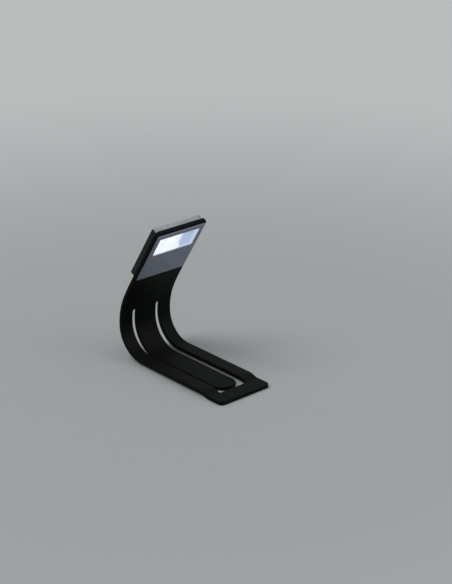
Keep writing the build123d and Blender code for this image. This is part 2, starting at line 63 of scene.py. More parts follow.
# %% [markdown]
# Directions and places come from the joints, so that they stay right if the model
# is packed again. The switch bar slides down the head and the battery door leaves
# it backward, which gives the head's own axes. The hinges mark the bend lines.

# %% Directions of the head and places of the bends
STRIP_THICKNESS = 2.0 * MM
HEAD_TAIL = 5.0 * MM

joint = {j["name"]: j for j in frame["joints"]}
head_up = -Vector(joint["switch_press"]["axis"]).normalized()
head_front = -Vector(joint["door_off"]["axis"]).normalized()
width_axis = Vector((1, 0, 0))
knee_top = Vector(joint["tongue_flex"]["pos_m"])
lower_bend = Vector(joint["neck_lower"]["pos_m"])
middle_bend = Vector(joint["neck_middle"]["pos_m"])
upper_bend = Vector(joint["neck_upper"]["pos_m"])

head_origin = upper_bend + head_up * HEAD_TAIL + head_front * STRIP_THICKNESS / 2
head_turn = Matrix((width_axis, head_up, head_front)).transposed().to_4x4()
head_matrix = Matrix.Translation(head_origin) @ head_turn
print("head leans forward", round(math.degrees(math.atan2(-head_up.y, head_up.z)), 1), "degrees")

# %% [markdown]
# The camera stands where the photograph was taken from. It was found by fitting a
# camera to the corners of the lamp head, and it looks past the front left of the
# light from a little above.

# %% Camera at the photograph's viewpoint
CAMERA_FROM_HEAD = Vector((-493.8, -603.9, 315.5)) * MM
CAMERA_RIGHT = Vector((0.7466, -0.6653, 0.0))
CAMERA_BACK = Vector((-0.6137, -0.6888, 0.3859))
LENS_MM = 104.2
SENSOR_MM = 36.0
NEAR_CLIP = 10 * MM

camera_data = bpy.data.cameras.new("camera")
camera_data.sensor_fit = "AUTO"
camera_data.sensor_width = SENSOR_MM
camera_data.lens = LENS_MM
camera_data.clip_start = NEAR_CLIP
camera = bpy.data.objects.new("camera", camera_data)
bpy.context.collection.objects.link(camera)
back = CAMERA_BACK.normalized()
right = (CAMERA_RIGHT - back * CAMERA_RIGHT.dot(back)).normalized()
camera_turn = Matrix((right, back.cross(right), back)).transposed().to_4x4()
camera.matrix_world = Matrix.Translation(head_origin + CAMERA_FROM_HEAD) @ camera_turn
bpy.context.scene.camera = camera
print("camera", [round(c, 3) for c in camera.location])

# %% [markdown]
# A material is a small network of nodes. Colours are written as the hex values that
# a colour picker shows, which are sRGB, and one function turns them to the linear
# values that the renderer needs. Another small function adds a node with its
# settings and its links, so that a network reads from top to bottom.


# %% Helpers for materials
def colour(hex_value):
    """A linear colour from an sRGB hex value such as '8f959b'."""
    channels = [int(hex_value[i:i + 2], 16) / 255 for i in (0, 2, 4)]
    linear = [c / 12.92 if c <= 0.04045 else ((c + 0.055) / 1.055) ** 2.4 for c in channels]
    return (*linear, 1.0)


def add_node(material, kind, settings=None, **links):
    """Adds a node. Settings are its own properties; links name sockets and what feeds them.

    A socket whose name isn't unique goes by its number, as in in_6.
    """
    node = material.node_tree.nodes.new(kind)
    for name, value in (settings or {}).items():
        setattr(node, name, value)
    for name, value in links.items():
        numbered = name.startswith("in_")
        socket = node.inputs[int(name[3:]) if numbered else name.replace("_", " ")]
        if isinstance(value, bpy.types.NodeSocket):
            material.node_tree.links.new(value, socket)
        else:
            socket.default_value = value
    return node


def new_material(name, **surface):
    """A material, and its main shader with values set from keywords."""
    material = bpy.data.materials.new(name)
    material.use_nodes = True
    shader = material.node_tree.nodes["Principled BSDF"]
    for socket, value in surface.items():
        shader.inputs[socket.replace("_", " ")].default_value = value
    return material, shader


# %% [markdown]
# No real surface is even. Moulds and lacquer leave a fine grain, and handling leaves
# slow patches of a slightly different tone. One noise at the size of the grain gives
# both the bump and the roughness, so that the crests are also the duller spots. A
# second, larger noise mixes two close tones. Painted textures could do the same, but
# noise on Object coordinates needs no unwrapping and has a size in millimetres.

# %% A finish with a grain, patches and a roughness that varies
PATCH_START = 0.3
PATCH_END = 0.7


def grained_finish(
    name, grain_mm, height_mm, strength, roughness, tones=None, patch_mm=None, detail=2.0, **surface
):
    """A material with a fine grain and, if two tones are given, with slow patches of both.

    Roughness is its lowest and highest value. Other keywords are values of the shader.
    """
    material, shader = new_material(name, **surface)
    link = material.node_tree.links.new
    place = add_node(material, "ShaderNodeTexCoord").outputs["Object"]
    grain = add_node(
        material, "ShaderNodeTexNoise", Vector=place,
        Scale=1.0 / (grain_mm * MM), Detail=detail, Roughness=0.55,
    )
    bump = add_node(
        material, "ShaderNodeBump", Height=grain.outputs["Fac"],
        Distance=height_mm * MM, Strength=strength,
    )
    link(bump.outputs["Normal"], shader.inputs["Normal"])
    spread = add_node(
        material, "ShaderNodeMapRange", Value=grain.outputs["Fac"],
        To_Min=roughness[0], To_Max=roughness[1],
    )
    link(spread.outputs["Result"], shader.inputs["Roughness"])
    if tones:
        patches = add_node(
            material, "ShaderNodeTexNoise", Vector=place,
            Scale=1.0 / (patch_mm * MM), Detail=3.0, Roughness=0.6,
        )
        ramp = add_node(material, "ShaderNodeValToRGB", Fac=patches.outputs["Fac"])
        for stop, position, tone in zip(ramp.color_ramp.elements, (PATCH_START, PATCH_END), tones):
            stop.position = position
            stop.color = colour(tone)
        link(ramp.outputs["Color"], shader.inputs["Base Color"])
    print("finish", name)
    return material


# %% [markdown]
# The strip is silicone rubber with a matte mould finish. It is filled with soot,
# so it is nearly pure black and gives back only a broad, very dim sheen. Handling
# shows as faint patches that are hardly paler. The real grain is about 0.1 mm, and is
# drawn at 0.35 mm, so that it shows.

# %% Black silicone rubber
rubber = grained_finish(
    "black_silicone_rubber", grain_mm=0.35, height_mm=0.03, strength=0.35, detail=3.0,
    roughness=(0.5, 0.7), tones=("020304", "050607"), patch_mm=9.0,
    IOR=1.42, Specular_IOR_Level=0.12,
)

# %% [markdown]
# The front plate is moulded plastic under a satin silver-grey lacquer. Its metal
# flakes lie nearly flat, so it is drawn as a half metallic surface with a fine
# grain. The flakes are a few hundredths of a millimetre across, and their grain is
# drawn at 0.1 mm, so that it shows. The bar on top wears the same lacquer in a
# lighter, glossier shade.

# %% Satin silver-grey lacquer
satin = grained_finish(
    "satin_silver_lacquer", grain_mm=0.12, height_mm=0.012, strength=0.3,
    roughness=(0.34, 0.46), tones=("828696", "8b8f9e"), patch_mm=5.0, Metallic=0.55,
)
bar_silver = grained_finish(
    "bright_silver_lacquer", grain_mm=0.1, height_mm=0.01, strength=0.25,
    roughness=(0.28, 0.38), tones=("888e93", "93999e"), patch_mm=4.0, Metallic=0.7,
)

# %% [markdown]
# The rear shell and the battery door are glossy black moulded ABS. Polished moulds
# leave a mirror gloss with a very slight waviness, which breaks up reflections. So
# its grain is wide, 2 mm and more, and very shallow.

# %% Glossy black ABS
gloss_black = grained_finish(
    "polished_black_abs", grain_mm=2.2, height_mm=0.02, strength=0.12,
    roughness=(0.12, 0.2), tones=("08090b", "0c0e10"), patch_mm=12.0,
    IOR=1.53, Specular_IOR_Level=0.24,
)

# %% [markdown]
# The window is clear acrylic. It is so even that only a faint waviness and a little
# roughness keep it from looking like no window at all.

# %% Clear acrylic
acrylic = grained_finish(
    "clear_acrylic", grain_mm=3.0, height_mm=0.01, strength=0.05, roughness=(0.06, 0.1),
    IOR=1.49, Transmission_Weight=1.0, Base_Color=colour("f4f9ff"),
)

# %% [markdown]
# Behind the window a white LED floods a glossy white tray. A lamp inside so small a
# tray would render slowly and with noise, so the lit tray is drawn as a surface that
# gives light by itself: full white round the LED, and dimmer and bluer on the far
# slope, where less light arrives, up to its brighter rim. The colours follow the
# tray's own width and depth, so they stay in place from every side.

# %% Lit tray and glowing phosphor
LIT_EDGE = 4.5 * MM
LIT_FADE = 1.0 * MM
TRAY_FRONT = 0.7 * MM
RIM_DEPTH = 0.45 * MM
# A colour Mix takes its colours at the inputs 6 and 7 and gives them at this output
MIX_RESULT = 2

tray_white, tray_shader = new_material(
    "lit_white_tray", Roughness=0.3, Base_Color=colour("e8ecf2"), Emission_Strength=0.9,
)
tray_place = add_node(tray_white, "ShaderNodeTexCoord").outputs["Object"]
tray_axes = add_node(tray_white, "ShaderNodeSeparateXYZ", Vector=tray_place)
far_side = add_node(
    tray_white, "ShaderNodeMapRange", {"interpolation_type": "SMOOTHSTEP"},
    Value=tray_axes.outputs["X"], From_Min=LIT_EDGE - LIT_FADE, From_Max=LIT_EDGE + LIT_FADE,
)
tray_depth = add_node(
    tray_white, "ShaderNodeVectorMath", {"operation": "DOT_PRODUCT"},
    in_0=tray_place, in_1=tuple(head_front),
)
rim_level = head_origin.dot(head_front) - TRAY_FRONT
near_rim = add_node(
    tray_white, "ShaderNodeMapRange", {"interpolation_type": "SMOOTHSTEP"},
    Value=tray_depth.outputs["Value"], From_Min=rim_level - RIM_DEPTH, From_Max=rim_level,
)
slope_tone = add_node(
    tray_white, "ShaderNodeMix", {"data_type": "RGBA"},
    Factor=near_rim.outputs["Result"], in_6=colour("93abcd"), in_7=colour("d5e0ee"),
)
tray_tone = add_node(
    tray_white, "ShaderNodeMix", {"data_type": "RGBA"},
    Factor=far_side.outputs["Result"], in_6=colour("fdfeff"), in_7=slope_tone.outputs[MIX_RESULT],
)
tray_white.node_tree.links.new(tray_tone.outputs[MIX_RESULT], tray_shader.inputs["Emission Color"])

phosphor = new_material(
    "glowing_phosphor", Roughness=0.6, Base_Color=colour("fff4c8"),
    Emission_Color=colour("fbfdff"), Emission_Strength=3.0,
)[0]
print("finish", tray_white.name, "and", phosphor.name)

# %% [markdown]
# The rest is small or hidden inside, but each piece still has its own finish: nickel
# plate on the cells and on the strip's steel bands, sprung brass, plated screws, a
# white solder mask on the board, plain black moulded housings on its components, and
# the white moulded package of the LED, which also carries a painted glow.

# %% Finishes of the inner pieces
nickel = grained_finish(
    "nickel_plated_steel", grain_mm=0.3, height_mm=0.01, strength=0.2,
    roughness=(0.25, 0.38), tones=("b9b8b2", "cccbc6"), patch_mm=3.0, Metallic=1.0,
)
brass = grained_finish(
    "spring_brass", grain_mm=0.2, height_mm=0.008, strength=0.2,
    roughness=(0.25, 0.4), tones=("c9a85c", "d9bb74"), patch_mm=2.0, Metallic=1.0,
)
plated = grained_finish(
    "black_plated_screw_steel", grain_mm=0.15, height_mm=0.01, strength=0.25,
    roughness=(0.3, 0.42), tones=("5a5c60", "6c6e72"), patch_mm=1.0, Metallic=1.0,
)
solder_mask = grained_finish(
    "white_solder_mask", grain_mm=0.6, height_mm=0.01, strength=0.15,
    roughness=(0.3, 0.45), tones=("dfe1de", "e9eae7"), patch_mm=4.0, IOR=1.5,
)
matte_black = grained_finish(
    "matte_black_moulding", grain_mm=0.15, height_mm=0.01, strength=0.3,
    roughness=(0.5, 0.65), tones=("17181a", "1e2022"), patch_mm=2.0, IOR=1.5,
)
# The LED's package is no lamp: its emission is a painted glow that stands in for the phosphor's light shining into
# it.
led_package_painted_glow = grained_finish(
    "white_led_package_painted_glow", grain_mm=0.2, height_mm=0.01, strength=0.15,
    roughness=(0.35, 0.5), tones=("eef0f0", "f6f7f7"), patch_mm=1.0, IOR=1.5,
    Emission_Color=colour("fbfdff"), Emission_Strength=1.0,
)

# %% [markdown]
# Each modelled piece gets its finish by its name. The softened copies that will stand
# for most of them take theirs from the same table, and the steel bands inside the
# strip and the phosphor are shown as they are.

# %% Give every modelled piece its finish
finish_of = {
    "front_bezel": satin, "push_bar": bar_silver, "rear_shell": gloss_black,
    "battery_door": gloss_black, "window_lens": acrylic, "reflector_tray": tray_white,
    "led_body": led_package_painted_glow, "led_phosphor": phosphor, "circuit_board": solder_mask,
    "driver_chip": matte_black, "resistor": matte_black, "switch_box": matte_black,
    "switch_plunger": matte_black, "coin_cell_rear": nickel, "coin_cell_front": nickel,
    "contact_front": brass, "contact_side": brass, "door_screw": plated,
    "housing_screws": plated, "core_head": nickel, "core_link_upper": nickel,
    "core_link_lower": nickel, "core_clip": nickel, "strip_head": rubber,
    "strip_link_upper": rubber, "strip_link_lower": rubber, "strip_clip": rubber,
    "strip_tongue": rubber,
}
for node_name, node_material in finish_of.items():
    node_materials = frame["nodes"][node_name].data.materials
    node_materials.clear()
    node_materials.append(node_material)
print("finishes given to", len(finish_of), "nodes")

# %% [markdown]
# Every new piece ends in the same way. Its sharp edges are rounded with a Bevel
# modifier, which finds them all by their angle, where a hand would pick them one by
# one. Its curved faces are shaded smooth, and it is given its material. The modelled
# pieces it stands for are hidden, and a piece that rides on one body is parented to it.
# Everything else is deselected first, because an operator acts on all that is
# selected.


# %% Helpers that finish a piece
def select_only(piece):
    """Makes one object the only selected and the active one."""
    bpy.ops.object.select_all(action="DESELECT")
    piece.select_set(True)
    bpy.context.view_layer.objects.active = piece


def copy_of(piece, name):
    """A new object with a copy of the mesh."""
    twin = bpy.data.objects.new(name, piece.data.copy())
    bpy.context.collection.objects.link(twin)
    return twin


def soften(piece, radius, segments=3, angle=40):
    """Rounds every edge that is sharper than an angle in degrees."""
    select_only(piece)
    modifier = piece.modifiers.new("soft_edges", "BEVEL")
    modifier.width = radius
    modifier.segments = segments
    modifier.limit_method = "ANGLE"
    modifier.angle_limit = math.radians(angle)
    modifier.use_clamp_overlap = False
    bpy.ops.object.modifier_apply(modifier=modifier.name)


def smooth_shade(piece, angle=30):
    """Smooth shading that keeps sharper edges, and keeps large flat faces flat."""
    select_only(piece)
    bpy.ops.object.shade_smooth_by_angle(angle=math.radians(angle))
    modifier = piece.modifiers.new("even_faces", "WEIGHTED_NORMAL")
    modifier.keep_sharp = True
    bpy.ops.object.modifier_apply(modifier=modifier.name)


def finish_piece(piece, body, slot_name, material, *node_names):
    """Gives a finished piece its material, hides the nodes it stands for and parents it to its body; the slot name
    is not used.

    A piece that crosses a hinge has two bodies and the stretch between them instead, and is then only baked in
    place.
    """
    piece.data.materials.clear()
    piece.data.materials.append(material)
    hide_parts(*node_names)
    if isinstance(body, str):
        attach(piece, body)
    else:
        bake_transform(piece)
    print(piece.name, "has", len(piece.data.polygons), "faces")


# %% [markdown]
# The hard pieces have their right shape and size already. What a plain model lacks
# is the tiny round that every moulded, stamped or turned edge has, and which catches
# the light. So each is copied, its loose triangles are merged into one skin, its
# sharp edges are rounded by a size that suits how the piece is made, and its curved
# faces are shaded smooth. The tray keeps its crisp edges: its walls are too thin for
# a round. The copy then stands for the plain piece.

# %% Hard pieces with softened edges
MERGE_REACH = 0.002 * MM
edge_round_mm = {
    "front_bezel": 0.08, "window_lens": 0.05, "reflector_tray": 0.0,
    "rear_shell": 0.08, "battery_door": 0.08, "coin_cell_rear": 0.05, "coin_cell_front": 0.05,
    "contact_front": 0.03, "contact_side": 0.03, "circuit_board": 0.04, "driver_chip": 0.05,
    "resistor": 0.04, "switch_box": 0.06, "switch_plunger": 0.05, "led_body": 0.04,
    "door_screw": 0.03, "housing_screws": 0.03,
}


def softened_copy(node_name, radius):
    """A merged copy of a modelled piece with a small round on every sharp edge."""
    piece = copy_of(frame["nodes"][node_name], node_name + "_finished")
    select_only(piece)
    bpy.ops.object.mode_set(mode="EDIT")
    bpy.ops.mesh.select_all(action="SELECT")
    bpy.ops.mesh.remove_doubles(threshold=MERGE_REACH)
    bpy.ops.object.mode_set(mode="OBJECT")
    if radius:
        soften(piece, radius, segments=2, angle=35)
    smooth_shade(piece)
    return piece


slot_of = {part["node"]: part["material_slot"] for part in frame["record"]["subparts"]}
bodies = frame["record"]["behaviour"]["bodies"]
body_of = {node_name: body for body, node_names in bodies.items() for node_name in node_names}
for node_name, round_mm in edge_round_mm.items():
    finished = softened_copy(node_name, round_mm * MM)
    finish_piece(finished, body_of[node_name], slot_of[node_name], finish_of[node_name], node_name)

# %% [markdown]
# The push bar is one moulding: a ribbed strip for the thumb, a stem that presses the
# switch, and two hooked legs that hold it in the shell. Its ribs are too fine for a
# bevel on the plain model, so the bar is made anew from blocks and round tools. It is
# built in the head's own axes, with local X across, local Y up the head and local Z
# to the front, and is set in place at the end.


# %% Helpers for blocks and tools
def add_block(name, low, high):
    """A box between two corners, with its origin at the scene's origin."""
    low, high = Vector(low), Vector(high)
    bpy.ops.object.select_all(action="DESELECT")
    bpy.ops.mesh.primitive_cube_add(size=1, location=(low + high) / 2)
    block = bpy.context.object
    block.name = name
    block.scale = high - low
    bpy.ops.object.transform_apply(location=True, rotation=True, scale=True)
    return block


def add_round(name, centre, radius, low, high, sides=32):
    """A cylinder along local Z on a centre, between two heights."""
    bpy.ops.object.select_all(action="DESELECT")
    bpy.ops.mesh.primitive_cylinder_add(
        vertices=sides, radius=radius, depth=high - low,
        location=(centre[0], centre[1], (low + high) / 2),
    )
    round_piece = bpy.context.object
    round_piece.name = name
    bpy.ops.object.transform_apply(location=True, rotation=True, scale=True)
    return round_piece


def combine(piece, tool, operation):
    """Cuts a piece with a tool, or joins the two, and deletes the tool."""
    select_only(piece)
    modifier = piece.modifiers.new(operation.lower(), "BOOLEAN")
    modifier.operation = operation
    modifier.solver = "EXACT"
    modifier.object = tool
    bpy.ops.object.modifier_apply(modifier=modifier.name)
    bpy.data.objects.remove(tool)


def head_corners(node_name):
    """Lowest and highest corner of a modelled piece in the head's own axes."""
    to_head = head_matrix.inverted()
    points = [to_head @ point.co for point in frame["nodes"][node_name].data.vertices]
    return Vector(map(min, zip(*points))), Vector(map(max, zip(*points)))


# %% [markdown]
# The bar's outer edges are rounded first, while it is still a plain block. Then one
# round tool, copied along the bar, cuts the shallow grooves between the ribs. The
# copies are joined and cut all at once.

# %% The ribbed bar
BAR_HEIGHT = 1.5 * MM
BAR_ROUND = 0.12 * MM
RIB_PITCH = 1.2 * MM
RIB_COUNT = 22
GROOVE_RADIUS = 0.3 * MM
GROOVE_DEPTH = 0.15 * MM

bar_low, bar_high = head_corners("push_bar")
bar_bottom = bar_high.y - BAR_HEIGHT
bar = add_block("push_bar_finished", (bar_low.x, bar_bottom, bar_low.z), bar_high)
soften(bar, BAR_ROUND)
groove_y = bar_high.y + GROOVE_RADIUS - GROOVE_DEPTH
groove_tools = []
for rib in range(RIB_COUNT):
    groove_x = (rib - (RIB_COUNT - 1) / 2) * RIB_PITCH
    groove_tools.append(
        add_round("groove_tool", (groove_x, groove_y), GROOVE_RADIUS, 2 * bar_low.z, 0)
    )
bpy.ops.object.select_all(action="DESELECT")
for tool in groove_tools:
    tool.select_set(True)
bpy.context.view_layer.objects.active = groove_tools[0]
bpy.ops.object.join()
combine(bar, groove_tools[0], "DIFFERENCE")
print("ribbed bar", len(bar.data.polygons), "faces")

# %% [markdown]
# The stem and the legs are flat blocks in one plane, joined to the bar from inside
# it, so that no faces lie on each other. Each hook is a wider block on a leg's end.
# A last, very small round takes the sharpness off the grooves and the legs.

# %% Stem and hooked legs, and the bar in its place
STEM_WIDTH = 2.4 * MM
STEM_THICKNESS = 0.8 * MM
STEM_MIDDLE = -3.7 * MM
STEM_REACH = 1.4 * MM
LEG_SPACING = 20.0 * MM
LEG_WIDTH = 2.2 * MM
HOOK_WIDTH = 2.9 * MM
HOOK_HEIGHT = 0.6 * MM
GROOVE_ROUND = 0.03 * MM


def add_leg(middle_x, width, low_y, high_y):
    """A flat block under the bar, in the plane of the stem, joined to it."""
    leg = add_block(
        "bar_leg",
        (middle_x - width / 2, low_y, STEM_MIDDLE - STEM_THICKNESS / 2),
        (middle_x + width / 2, high_y, STEM_MIDDLE + STEM_THICKNESS / 2),
    )
    combine(bar, leg, "UNION")


inside_bar = bar_bottom + BAR_HEIGHT / 3
add_leg(0, STEM_WIDTH, bar_bottom - STEM_REACH, inside_bar)
for side in (-1, 1):
    leg_x = side * LEG_SPACING / 2
    add_leg(leg_x, LEG_WIDTH, bar_low.y + HOOK_HEIGHT / 2, inside_bar)
    add_leg(leg_x, HOOK_WIDTH, bar_low.y, bar_low.y + HOOK_HEIGHT)
soften(bar, GROOVE_ROUND, segments=1, angle=50)

bar.matrix_world = head_matrix
select_only(bar)
bpy.ops.object.transform_apply(location=True, rotation=True, scale=True)
smooth_shade(bar, angle=35)
finish_piece(bar, "switch_bar", "silver_plastic", bar_silver, "push_bar")

# %% [markdown]
# The strip is one sheet of rubber: a straight plate with rounded corners and two long
# slits that free a tongue between them. The real one is moulded flat and bent later,
# so it is drawn flat here too, where its outline is easy to cut, and bent last. Local
# X is the width, local Y is the length along the strip, counted from the hinge of the
# tongue, and local Z is the thickness.

# %% The strip's sizes
STRIP_WIDTH = 32.0 * MM
SLIT_WIDTH = 2.4 * MM
SLIT_RISE = 5.6 * MM
TONGUE_WIDTH = 12.6 * MM
CORNER_RADIUS = 2.5 * MM
TIP_RADIUS = 5.5 * MM
TIP_GAP = 2.0 * MM
CLIP_GAP = 1.2 * MM
END_BAND = 9.0 * MM
JOGGLE_RUN = 6.0 * MM
KNEE_RADIUS = 16.5 * MM
NECK_RADIUS = 33.0 * MM
UPPER_NECK_RADIUS = 110.0 * MM
QUARTER_TURN = math.pi / 2

foot_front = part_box("strip_clip")[0].y
knee_start = knee_top.y - KNEE_RADIUS
neck_turn = 2 * math.asin((middle_bend - knee_top).length / (2 * NECK_RADIUS))
upper_turn = 2 * math.asin((upper_bend - middle_bend).length / (2 * UPPER_NECK_RADIUS))
joggle_turn = 2 * math.atan(CLIP_GAP / JOGGLE_RUN)
joggle_radius = JOGGLE_RUN / (2 * math.sin(joggle_turn))
rail_knee_radius = KNEE_RADIUS - CLIP_GAP
rail_straight = knee_start + CLIP_GAP - (foot_front + END_BAND + JOGGLE_RUN)
tongue_straight = knee_start - (foot_front + END_BAND + TIP_GAP)
print("neck turns", round(math.degrees(neck_turn), 2), "and", round(math.degrees(upper_turn), 2))

# %% [markdown]
# The bent strip follows centre lines made of straights and arcs. One runs up the
# neck. Two run down from the tongue's hinge: the rails take the inside of the knee
# and joggle down to the foot, and the tongue takes the outside. A short list of
# lengths and turns says all of that, and its sum gives the flat sheet's length. A
# curve modifier would bend the sheet too, but only along one line at a time.

# %% The strip's centre lines
# Each length is (length, turn), with the turn to the inside of the bend. The last
# one is straight and has no end, for all that lies beyond.
BEYOND = (1.0, 0.0)
neck_path = [(NECK_RADIUS * neck_turn, neck_turn), (UPPER_NECK_RADIUS * upper_turn, upper_turn), BEYOND]
rail_path = [
    (rail_knee_radius * QUARTER_TURN, QUARTER_TURN),
    (rail_straight, 0.0),
    (joggle_radius * joggle_turn, -joggle_turn),
    (joggle_radius * joggle_turn, joggle_turn),
    BEYOND,
]
tongue_path = [(KNEE_RADIUS * QUARTER_TURN, QUARTER_TURN), BEYOND]

head_start = sum(length for length, turn in neck_path[:-1])
window_length = sum(length for length, turn in rail_path[:-1])
foot_end = -(window_length + END_BAND)
tongue_end = -(KNEE_RADIUS * QUARTER_TURN + tongue_straight)
head_top = Vector(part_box("strip_head")[1])
top_slant = STRIP_THICKNESS / 2 * (-head_up.y) / head_up.z
top_end = head_start + (head_top - upper_bend).z / head_up.z - top_slant
print("flat sheet from", round(foot_end / MM, 1), "to", round(top_end / MM, 1), "mm")

# %% [markdown]
# The sheet is a block with rounded corners. Two tools cut it: a window with the
# tongue left standing in it, which leaves the slits and the gap round the tongue's
# tip, and a block for the opening behind the lamp head. Blocks and booleans keep the
# outline exact, and a bevel of the upright edges rounds each corner by its own size.


# %% Helpers for upright edges
SAME_PLACE = 0.0001 * MM


def upright(start, end):
    """True for an edge that runs along the local Z axis."""
    return abs(start.x - end.x) < SAME_PLACE and abs(start.y - end.y) < SAME_PLACE


def round_edges(piece, radius, wanted, segments):
    """Rounds the edges for which wanted(start, end) is true, with the bevel operator."""
    select_only(piece)
    bpy.ops.object.mode_set(mode="EDIT")
    bpy.ops.mesh.select_mode(type="EDGE")
    bpy.ops.mesh.select_all(action="DESELECT")
    mesh = bmesh.from_edit_mesh(piece.data)
    for edge in mesh.edges:
        if wanted(edge.verts[0].co, edge.verts[1].co):
            edge.select_set(True)
    bmesh.update_edit_mesh(piece.data)
    bpy.ops.mesh.bevel(offset=radius, segments=segments, affect="EDGES", clamp_overlap=False)
    bpy.ops.object.mode_set(mode="OBJECT")


# %% [markdown]
# The window's tool is a block with the tongue's shape cut out of it. What is left
# beside the tongue makes the slits, so their round tops are rounded on the tool. All
# tools reach past the sheet on both sides, because faces that lie on each other make
# a boolean fail.

# %% The flat sheet with its slits
HALF_THICKNESS = STRIP_THICKNESS / 2
TOOL_REACH = 1.5 * HALF_THICKNESS
BLANK_REACH = 2 * HALF_THICKNESS
BLANK_TOP = 3 * SLIT_RISE
WINDOW_SIDE = TONGUE_WIDTH / 2 + SLIT_WIDTH
# Just under half the slit's width, because two rounds that met would leave no edge
SLIT_ROUND = 0.49 * SLIT_WIDTH

sheet = add_block(
    "rubber_sheet",
    (-STRIP_WIDTH / 2, foot_end, -HALF_THICKNESS),
    (STRIP_WIDTH / 2, top_end, HALF_THICKNESS),
)
round_edges(sheet, CORNER_RADIUS, upright, segments=8)

tongue_blank = add_block(
    "tongue_blank",
    (-TONGUE_WIDTH / 2, tongue_end, -BLANK_REACH),
    (TONGUE_WIDTH / 2, BLANK_TOP, BLANK_REACH),
)
round_edges(tongue_blank, TIP_RADIUS, lambda a, b: upright(a, b) and a.y < 0, segments=10)
slit_tool = add_block(
    "slit_tool",
    (-WINDOW_SIDE, -window_length, -TOOL_REACH),
    (WINDOW_SIDE, SLIT_RISE + SLIT_WIDTH / 2, TOOL_REACH),
)
combine(slit_tool, tongue_blank, "DIFFERENCE")
round_edges(slit_tool, SLIT_ROUND, lambda a, b: upright(a, b) and a.y > SLIT_RISE, segments=10)
combine(sheet, slit_tool, "DIFFERENCE")
print("slit sheet", len(sheet.data.polygons), "faces")

# %% [markdown]
# The lamp head sits in an opening of the strip. The opening is measured from the
# front plate, which covers its edge on all four sides.

# %% The opening behind the lamp head
OPENING_SIDE = 1.0 * MM
OPENING_END = 1.4 * MM
OPENING_CORNER = 1.2 * MM

plate_low, plate_high = head_corners("front_bezel")
housing_start = head_start + HEAD_TAIL
opening_tool = add_block(
    "opening_tool",
    (plate_low.x + OPENING_SIDE, housing_start + plate_low.y + OPENING_END, -TOOL_REACH),
    (plate_high.x - OPENING_SIDE, housing_start + plate_high.y - OPENING_END, TOOL_REACH),
)
round_edges(opening_tool, OPENING_CORNER, upright, segments=6)
combine(sheet, opening_tool, "DIFFERENCE")
print("sheet with its opening", len(sheet.data.polygons), "faces")

# %% [markdown]
# The rims are rounded while the sheet is still plain, as a mould leaves them. Done
# later, the rounds would run into the rows and fold faces over each other. A flat
# face can't bend, so the sheet is then cut across into rows half a millimetre long,
# up to the head, which stays straight.

# %% Rounded rims, and rows that can bend
RIM_RADIUS = 0.4 * MM
ROW = 0.5 * MM

soften(sheet, RIM_RADIUS, segments=3, angle=50)
select_only(sheet)
bpy.ops.object.mode_set(mode="EDIT")
row_count = int((head_start + HEAD_TAIL - foot_end) / ROW)
first_row = -int(-foot_end / ROW) * ROW
for row in range(row_count):
    bpy.ops.mesh.select_all(action="SELECT")
    bpy.ops.mesh.bisect(plane_co=(0, first_row + row * ROW, 0), plane_no=(0, 1, 0))
bpy.ops.object.mode_set(mode="OBJECT")
print("cut into", row_count, "rows")

# %% [markdown]
# The sheet is parted where the model's hinges need it. The tongue comes off at its
# root, with both cuts closed.

# %% The tongue as its own piece
SLIT_MIDDLE = (TONGUE_WIDTH + SLIT_WIDTH) / 2


def part_tongue(piece):
    """Separates the tongue below its root and closes both cuts."""
    select_only(piece)
    bpy.ops.object.mode_set(mode="EDIT")
    bpy.ops.mesh.select_mode(type="FACE")
    bpy.ops.mesh.select_all(action="DESELECT")
    mesh = bmesh.from_edit_mesh(piece.data)
    past_tip = (tongue_end - window_length) / 2
    for face in mesh.faces:
        centre = face.calc_center_median()
        face.select_set(past_tip < centre.y < 0 and abs(centre.x) < SLIT_MIDDLE)
    bmesh.update_edit_mesh(piece.data)
    bpy.ops.mesh.separate(type="SELECTED")
    bpy.ops.object.mode_set(mode="OBJECT")
    parted = [o for o in bpy.context.selected_objects if o != piece][0]
    for open_piece in (piece, parted):
        select_only(open_piece)
        bpy.ops.object.mode_set(mode="EDIT")
        bpy.ops.mesh.select_mode(type="EDGE")
        bpy.ops.mesh.select_all(action="DESELECT")
        bpy.ops.mesh.select_non_manifold()
        bpy.ops.mesh.edge_face_add()
        bpy.ops.mesh.select_all(action="SELECT")
        bpy.ops.mesh.normals_make_consistent(inside=False)
        bpy.ops.object.mode_set(mode="OBJECT")
    return parted


tongue_skin = part_tongue(sheet)
tongue_skin.name = "tongue_rubber"
print("tongue", len(tongue_skin.data.polygons), "faces")

# %% [markdown]
# Each hinge of the neck bends a stretch of rubber on both sides of it. So the neck is
# parted where no bend reaches: below the first hinge and half way between the others.
# Each section is a copy of the whole sheet with the rest cut away. The cuts are flat
# and meet exactly, so no seam shows at rest or when bent.

# %% The neck in sections
BLEND_REACH = 4.4 * MM
SEAM_GAP = 0.2 * MM


def keep_between(piece, low, high):
    """Cuts away what lies below and above two heights on local Y and closes the cuts."""
    select_only(piece)
    bpy.ops.object.mode_set(mode="EDIT")
    for height, side in ((low, "inner"), (high, "outer")):
        if height is None:
            continue
        bpy.ops.mesh.select_all(action="SELECT")
        bpy.ops.mesh.bisect(
            plane_co=(0, height, 0), plane_no=(0, 1, 0),
            clear_inner=side == "inner", clear_outer=side == "outer",
        )
        bpy.ops.mesh.select_all(action="SELECT")
        bpy.ops.mesh.fill_holes(sides=0)
    bpy.ops.mesh.normals_make_consistent(inside=False)
    bpy.ops.object.mode_set(mode="OBJECT")


